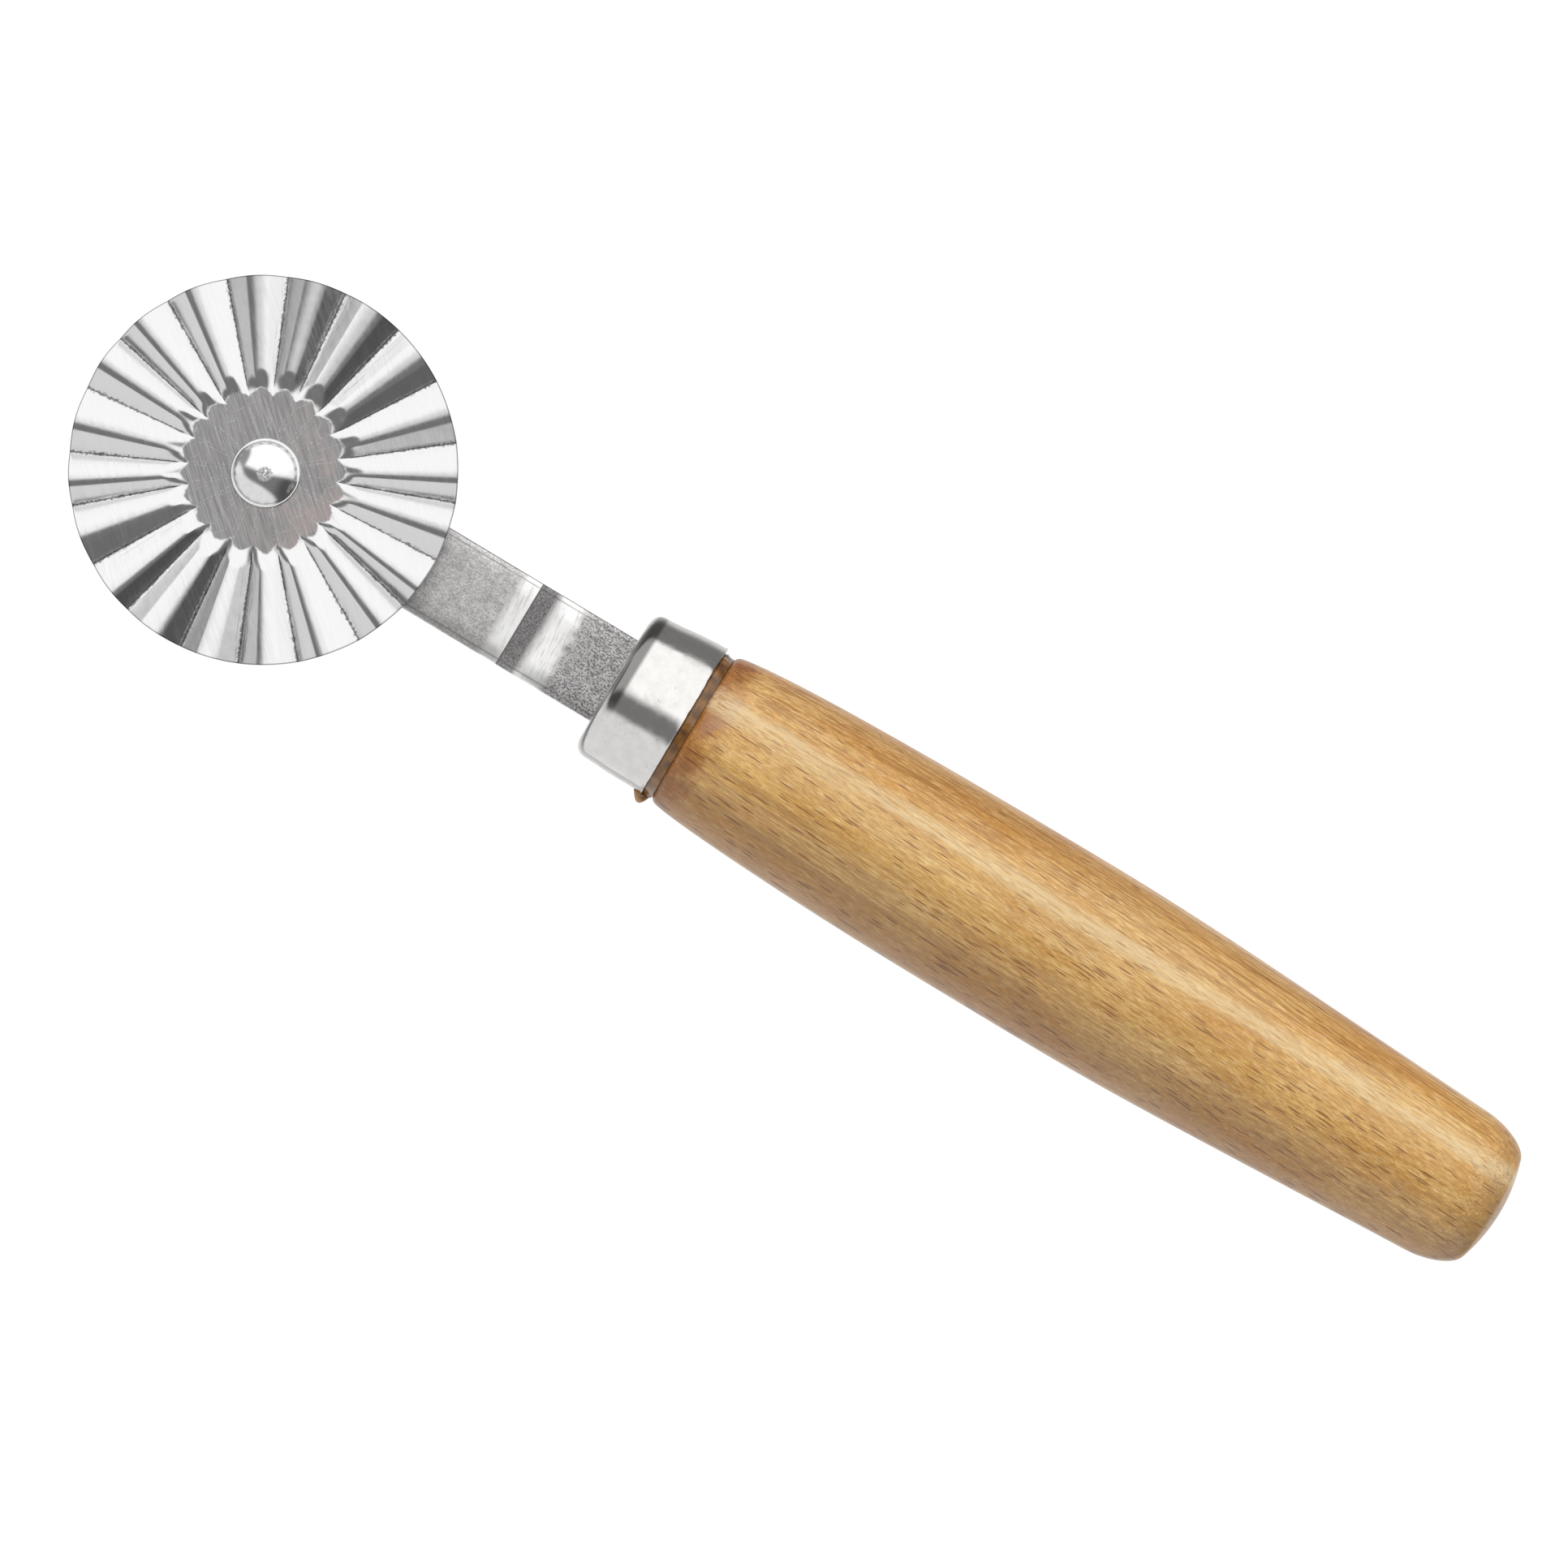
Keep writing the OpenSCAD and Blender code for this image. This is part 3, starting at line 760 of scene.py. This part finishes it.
def arm(finish):
    """A bar swept along its own middle line, with a round eye for the rivet and a tang."""
    half = 4.8
    low = ARM[0][2] + ARM_T / 2
    tip = TENON_X + 37
    rings = []
    for x, z, tilt in arm_line(low, half, tip):
        if x < 0:
            w = max(0.25, math.sqrt(max(half**2 - x * x, 0)))
        elif x < TENON_X:
            w = half
        elif x < tip - 1.5:
            w = 2.25 - (x - TENON_X) / (tip - 2 - TENON_X)
        else:
            w = 0.95 if x < tip - 0.5 else 0.6
        rings.append([(x - s * math.sin(tilt), v, z + s * math.cos(tilt)) for v, s in arm_section(w)])
    piece = build("arm_steel", rings, "tool", "arm", finish, 24)
    drill(piece, HOLE_R, ARM[0][2] - 1, low + ARM_T)


def drill(piece, radius, z0, z1):
    """Cuts a round hole along the axle through a piece."""
    n = 48
    rings = [about_axle(z, radius, n) for z in (z0, z1)]
    points = to_row(np.concatenate(rings)).tolist()
    faces = [(j, (j + 1) % n, n + (j + 1) % n, n + j) for j in range(n)]
    faces += [tuple(reversed(range(n))), tuple(range(n, 2 * n))]
    mesh = bpy.data.meshes.new("bit")
    mesh.from_pydata(points, [], faces)
    bit = bpy.data.objects.new("bit", mesh)
    bpy.context.scene.collection.objects.link(bit)
    cut = piece.modifiers.new("hole", "BOOLEAN")
    cut.operation, cut.solver, cut.object = "DIFFERENCE", "EXACT", bit
    graph = bpy.context.evaluated_depsgraph_get()
    done = bpy.data.meshes.new_from_object(piece.evaluated_get(graph))
    piece.modifiers.remove(cut)
    piece.data = done
    bpy.data.objects.remove(bit)


def flute_points(across):
    """For across points in each flute: angle, 0 on the crest to 1 in a crease, gain and shift.

    Gain is how deep the flute is there, and shift how much further out it starts.
    """
    count = FLUTES * across
    turn, u, gain, shift = np.zeros((4, count))
    crease = FIRST_CREASE + np.arange(FLUTES) * 360 / FLUTES + np.array(CREASE_OFF)
    deep = 1 + rng.uniform(-0.05, 0.03, FLUTES)
    skew = rng.uniform(-0.06, 0.06, FLUTES)
    inset = rng.uniform(-0.18, 0.18, FLUTES)
    for i in range(FLUTES):
        after = (i + 1) % FLUTES
        width = (crease[after] - crease[i]) % 360
        mid = 0.5 + skew[i]
        for j in range(across):
            s = j / across
            at = i * across + j
            turn[at] = math.radians(crease[i] + width * s)
            u[at] = (mid - s) / mid if s < mid else (s - mid) / (1 - mid)
            gain[at] = deep[i] + (deep[after] - deep[i]) * s
            shift[at] = inset[i] * (1 - u[at])
    return turn, u, gain, shift


def fluted_wheel(finish):
    """Pressed sheet: a flat middle and flutes with round crests and sharp creases."""
    turn, u, gain, shift = flute_points(40)
    bore_r, rim = 2.25, WHEEL[1][0]
    # The wave runs from 1 on a crest to -1 in a crease: a round crest, then a straight facet.
    drop = 2 / (CREST / (CREST_BOW + 1) + 1 - CREST)
    near = np.minimum(u / CREST, 1)
    round_part = CREST * near ** (CREST_BOW + 1) / (CREST_BOW + 1)
    wave = 1 - drop * (round_part + np.maximum(u - CREST, 0))
    steep = FLUTE_H / (2 * rim) * FLUTES / math.pi * drop * near**CREST_BOW
    start = FLAT_R + shift - 0.85 * u**1.5  # creases start further in than crests
    flat = [bore_r, 3.6, 5.2, 6.6]
    flutes = [*np.linspace(7.5, 10.9, 30), *np.linspace(11.5, rim - 0.12, 20), rim - 0.03]
    upper, lower = [], []
    for r in flat + flutes:
        s = np.clip((r - start) / FLUTE_RUN, 0, 1)
        rise = 0.45 * s * (2 - s) + 0.55 * s * s * (3 - 2 * s)
        middle = wave * gain * FLUTE_H / 2 * r / rim * rise
        half = SHEET / 2 * np.sqrt(1 + (steep * rise) ** 2)
        x, y = r * np.cos(turn), r * np.sin(turn)
        top = np.c_[x, y, middle + half]
        if r > 9:
            # A ragged burr beside each crease.
            beside = np.exp(-(((1 - u) * r * math.pi / FLUTES / 0.16) ** 2))
            top[:, 2] += beside * (0.03 + 0.05 * wavy(top, 0.35, 4.0)) * min(1, (r - 9) / 5)
        upper.append(top)
        lower.append(np.c_[x, y, middle - half])
    edge = 0.5 * (upper[-1] + lower[-1])
    edge[:, :2] *= rim / (rim - 0.03)
    rings = upper + [edge] + lower[::-1]
    # The underside gets 0, so the material puts no galling, painted crease shade and painted lip highlight on its
    # creases.
    flute = np.concatenate([np.tile(u, len(upper) + 1), np.zeros(len(lower) * len(u))])
    build("wheel_fluted", rings, "wheel", "fluted_wheel", finish, 30, loop=True, flute=flute)


def rivet(finish):
    """A hammered tail, the shank, and a domed head with a small scar on it."""
    n = 96
    foot, tail, seat, top = RIVET[0][2], TAIL_WASHER[0][2], HEAD_WASHER[1][2], RIVET[1][2]
    shank_r, head_r = 1.5, 3.4
    head_h = top - seat
    dome_r = (head_r**2 + head_h**2) / (2 * head_h)
    hammered = [(foot, 1.1), (foot, 2.1), (foot + 0.12, 2.35), (foot + 0.4, 2.68), (foot + 0.6, 2.75)]
    hammered += [(tail - 0.08, 2.74)]
    rings = [about_axle(z, r, n) for z, r in hammered]
    # The tail is not quite flat or round.
    for ring in rings:
        ring[:, :2] *= (1 + 0.03 * wavy(ring, 2.2, 6.0))[:, None]
    rings += [about_axle(z, r, n) for z, r in ((tail, 2.66), (tail, shank_r), (seat, shank_r))]
    off = (HEAD_X, HEAD_Y)
    rings += [about_axle(seat, 3.3, n, off), about_axle(seat + 0.06, head_r, n, off)]
    for lean in np.linspace(math.asin(head_r / dome_r) - 0.03, 0.012, 34):
        ring = about_axle(top - dome_r + dome_r * math.cos(lean), dome_r * math.sin(lean), n, off)
        far = np.hypot(ring[:, 0] - off[0] - SCAR[0], ring[:, 1] - off[1] - SCAR[1])
        scar = np.clip((0.85 - far) / 0.4, 0, 1)
        ring[:, 2] += scar * (0.05 * wavy(ring, 0.22, 7.0) - 0.05)
        rings.append(ring)
    build("rivet_steel", rings, "tool", "axle_rivet", finish, 40)


def tube(name, node, finish, stations, off=(0, 0)):
    """A body of revolution about the axle, with the rivet's hole. stations are (z, radius)."""
    n = 96
    rings = [about_axle(z, r, n, off) for z, r in stations]
    rings += [about_axle(stations[-1][0], HOLE_R, n), about_axle(stations[0][0], HOLE_R, n)]
    build(name, rings, "tool", node, finish, 40, loop=True)


def bush(finish):
    """The wheel's spacer below and its bearing, the narrower nose, above."""
    low, high, foot = BUSH[0][2], BUSH[1][2], -0.35
    body = [(low, 3.35), (low + 0.15, 3.5), (foot - 0.15, 3.5), (foot, 3.35)]
    nose = [(foot, 2.2), (high - 0.05, 2.2), (high, 2.15)]
    tube("bush_turned", "hub_bush", finish, body + nose)


def head_washer(finish):
    low, high = HEAD_WASHER[0][2], HEAD_WASHER[1][2]
    side = [(low, 3.5), (low + 0.05, 3.57), (high - 0.08, 3.57), (high, 3.50)]
    tube("washer_head", "head_washer", finish, side, (HEAD_X, HEAD_Y))


def tail_washer(finish):
    low, high = TAIL_WASHER[0][2], TAIL_WASHER[1][2]
    side = [(low, 3.9), (low + 0.08, 4.0), (high - 0.08, 4.0), (high, 3.9)]
    tube("washer_tail", "tail_washer", finish, side)


def glue_ring(finish):
    """Set glue in the groove, thicker here and there, and drawn out on the -Y side."""
    n, x0 = 240, FERRULE[1][0] + 0.02
    floor_r = 7.92
    base = around(x0, 8.0, n)
    lump = 0.10 * wavy(base, 1.7, 3.0) + 0.05 * wavy(base, 0.6, 8.0)
    drip = np.exp(-(((angles(n) - math.pi) / 0.085) ** 2))
    rings = [around(x0, floor_r, n), around(x0, 8.22 + lump + 0.55 * drip, n)]
    for x, r, pull in ((0.25, 8.34, 1.0), (0.5, 8.24, 0.95), (0.8, 8.18, 0.6), (1.04, 8.20, 0.2)):
        rings.append(around(x0 + x, r + lump * (1.2 - x) + 0.55 * pull * drip, n))
    rings.append(around(x0 + 1.05, floor_r, n))
    build("glue_ring", rings, "tool", "glue_bead", finish, 50, loop=True)


def glue_drip(finish):
    """A teardrop on the ferrule's -Y side, narrowing towards the arm."""
    n, x0 = 32, FERRULE[1][0] + 0.02
    a = angles(n)
    rings = []
    for s in np.linspace(0.02, 0.98, 18):
        x = x0 - 1.0 + 1.85 * s
        r = 0.74 * math.sin(math.pi * s**1.4) ** 0.7
        y = -8.40 - 0.34 * math.sin(math.pi * s)
        rings.append(np.c_[x * np.ones(n), y + r * np.cos(a), 0.2 + 1.05 * r * np.sin(a)])
    build("glue_drip", rings, "tool", "glue_bead", finish, 60)


handle(beech())
ferrule(nickel())
arm(galvanised())
fluted_wheel(wheel_steel())
polished, turned = rivet_steel(), bush_steel()
rivet(polished)
bush(turned)
head_washer(polished)
tail_washer(turned)
glue = set_glue()
glue_ring(glue)
glue_drip(glue)

# ---- Floor, light and camera ----


def floor():
    """A pale board that glows, so it stays white under the soft light."""
    made, t = material("floor")
    at = t.add("ShaderNodeTexCoord", out="Object")
    tone = t.step(t.add("ShaderNodeTexNoise", {"Vector": at, "Scale": 3.0}), 0, 1, (0.24, 0.26))
    shade = t.add("ShaderNodeCombineColor", {0: tone, 1: tone, 2: tone})
    t.finish(
        base_color=shade,
        roughness=1.0,
        specular_ior_level=0.0,
        emission_color=(1, 1, 1),
        emission_strength=0.92,
    )
    mesh = bpy.data.meshes.new("floor")
    s = 2.0
    mesh.from_pydata([(-s, -s, 0), (s, -s, 0), (s, s, 0), (-s, s, 0)], [], [(0, 1, 2, 3)])
    mesh.materials.append(made)
    board = bpy.data.objects.new("floor", mesh)
    bpy.context.scene.collection.objects.link(board)
    # Metal and lacquer reflect the studio below them, not this board.
    board.visible_glossy = False


def studio():
    """A large soft light on the +Y side, a dimmer one on the -Y side and a dark gap between.

    The gap is widest towards the butt. At the wheel's end the large light stops
    short and the dimmer one reaches further round.
    """
    world = bpy.data.worlds.new("studio")
    bpy.context.scene.world = world
    t = Tree(world)
    way = t.add("ShaderNodeTexCoord", out="Generated")
    axes = (ALONG, AXLE.cross(ALONG), AXLE)
    dx, dy, dz = (t.vec("DOT_PRODUCT", way, tuple(axis), out=1) for axis in axes)
    right = t.math("MAXIMUM", dx, 0.0)
    left = t.math("MINIMUM", dx, 0.0)
    key_edge = t.math("MULTIPLY_ADD", right, 0.42, t.times(left, 0.10))
    key = t.step(t.math("SUBTRACT", dy, key_edge), -0.20, 0.06)
    key = t.times(key, t.step(dz, -0.05, 0.09))
    key = t.times(key, t.step(dx, -0.935, -0.85))
    fill_edge = t.times(t.math("POWER", left, 4.0), 0.5)
    fill = t.step(t.math("SUBTRACT", dy, fill_edge), -0.56, -0.70)
    below = t.step(dz, -0.66, -0.94)
    total = t.math("ADD", t.step(dx, 0.55, 0.94, (0.24, 0.10)), t.step(dx, -0.78, -0.94, (0, 0.14)))
    for part, power in ((key, 1.22), (fill, 0.76), (below, 0.6)):
        total = t.math("MULTIPLY_ADD", part, power, total)
    back = t.add("ShaderNodeBackground", {"Color": (1, 1, 1), "Strength": total})
    t.add("ShaderNodeOutputWorld", {"Surface": back}, None)


def camera():
    """Looks straight along the axle, with the handle running down to the right."""
    data = bpy.data.cameras.new("camera")
    data.lens, data.sensor_width = 250.0, 36.0
    far, roll = 1116.0, math.radians(31.0)
    aim_x, aim_y = 62.3, -0.1
    eye = bpy.data.objects.new("camera", data)
    bpy.context.scene.collection.objects.link(eye)
    right = Vector((math.cos(roll), math.sin(roll), 0))
    up = Vector((-math.sin(roll), math.cos(roll), 0))
    pose = Matrix((TURN @ right, TURN @ up, AXLE)).transposed().to_4x4()
    pose.translation = Vector(to_row([(aim_x, aim_y, far)])[0])
    eye.matrix_world = pose
    data.clip_start, data.clip_end = 0.01, 10
    data.dof.use_dof = False
    bpy.context.scene.camera = eye


floor()
studio()
camera()
bpy.context.scene.view_settings.view_transform = "Standard"
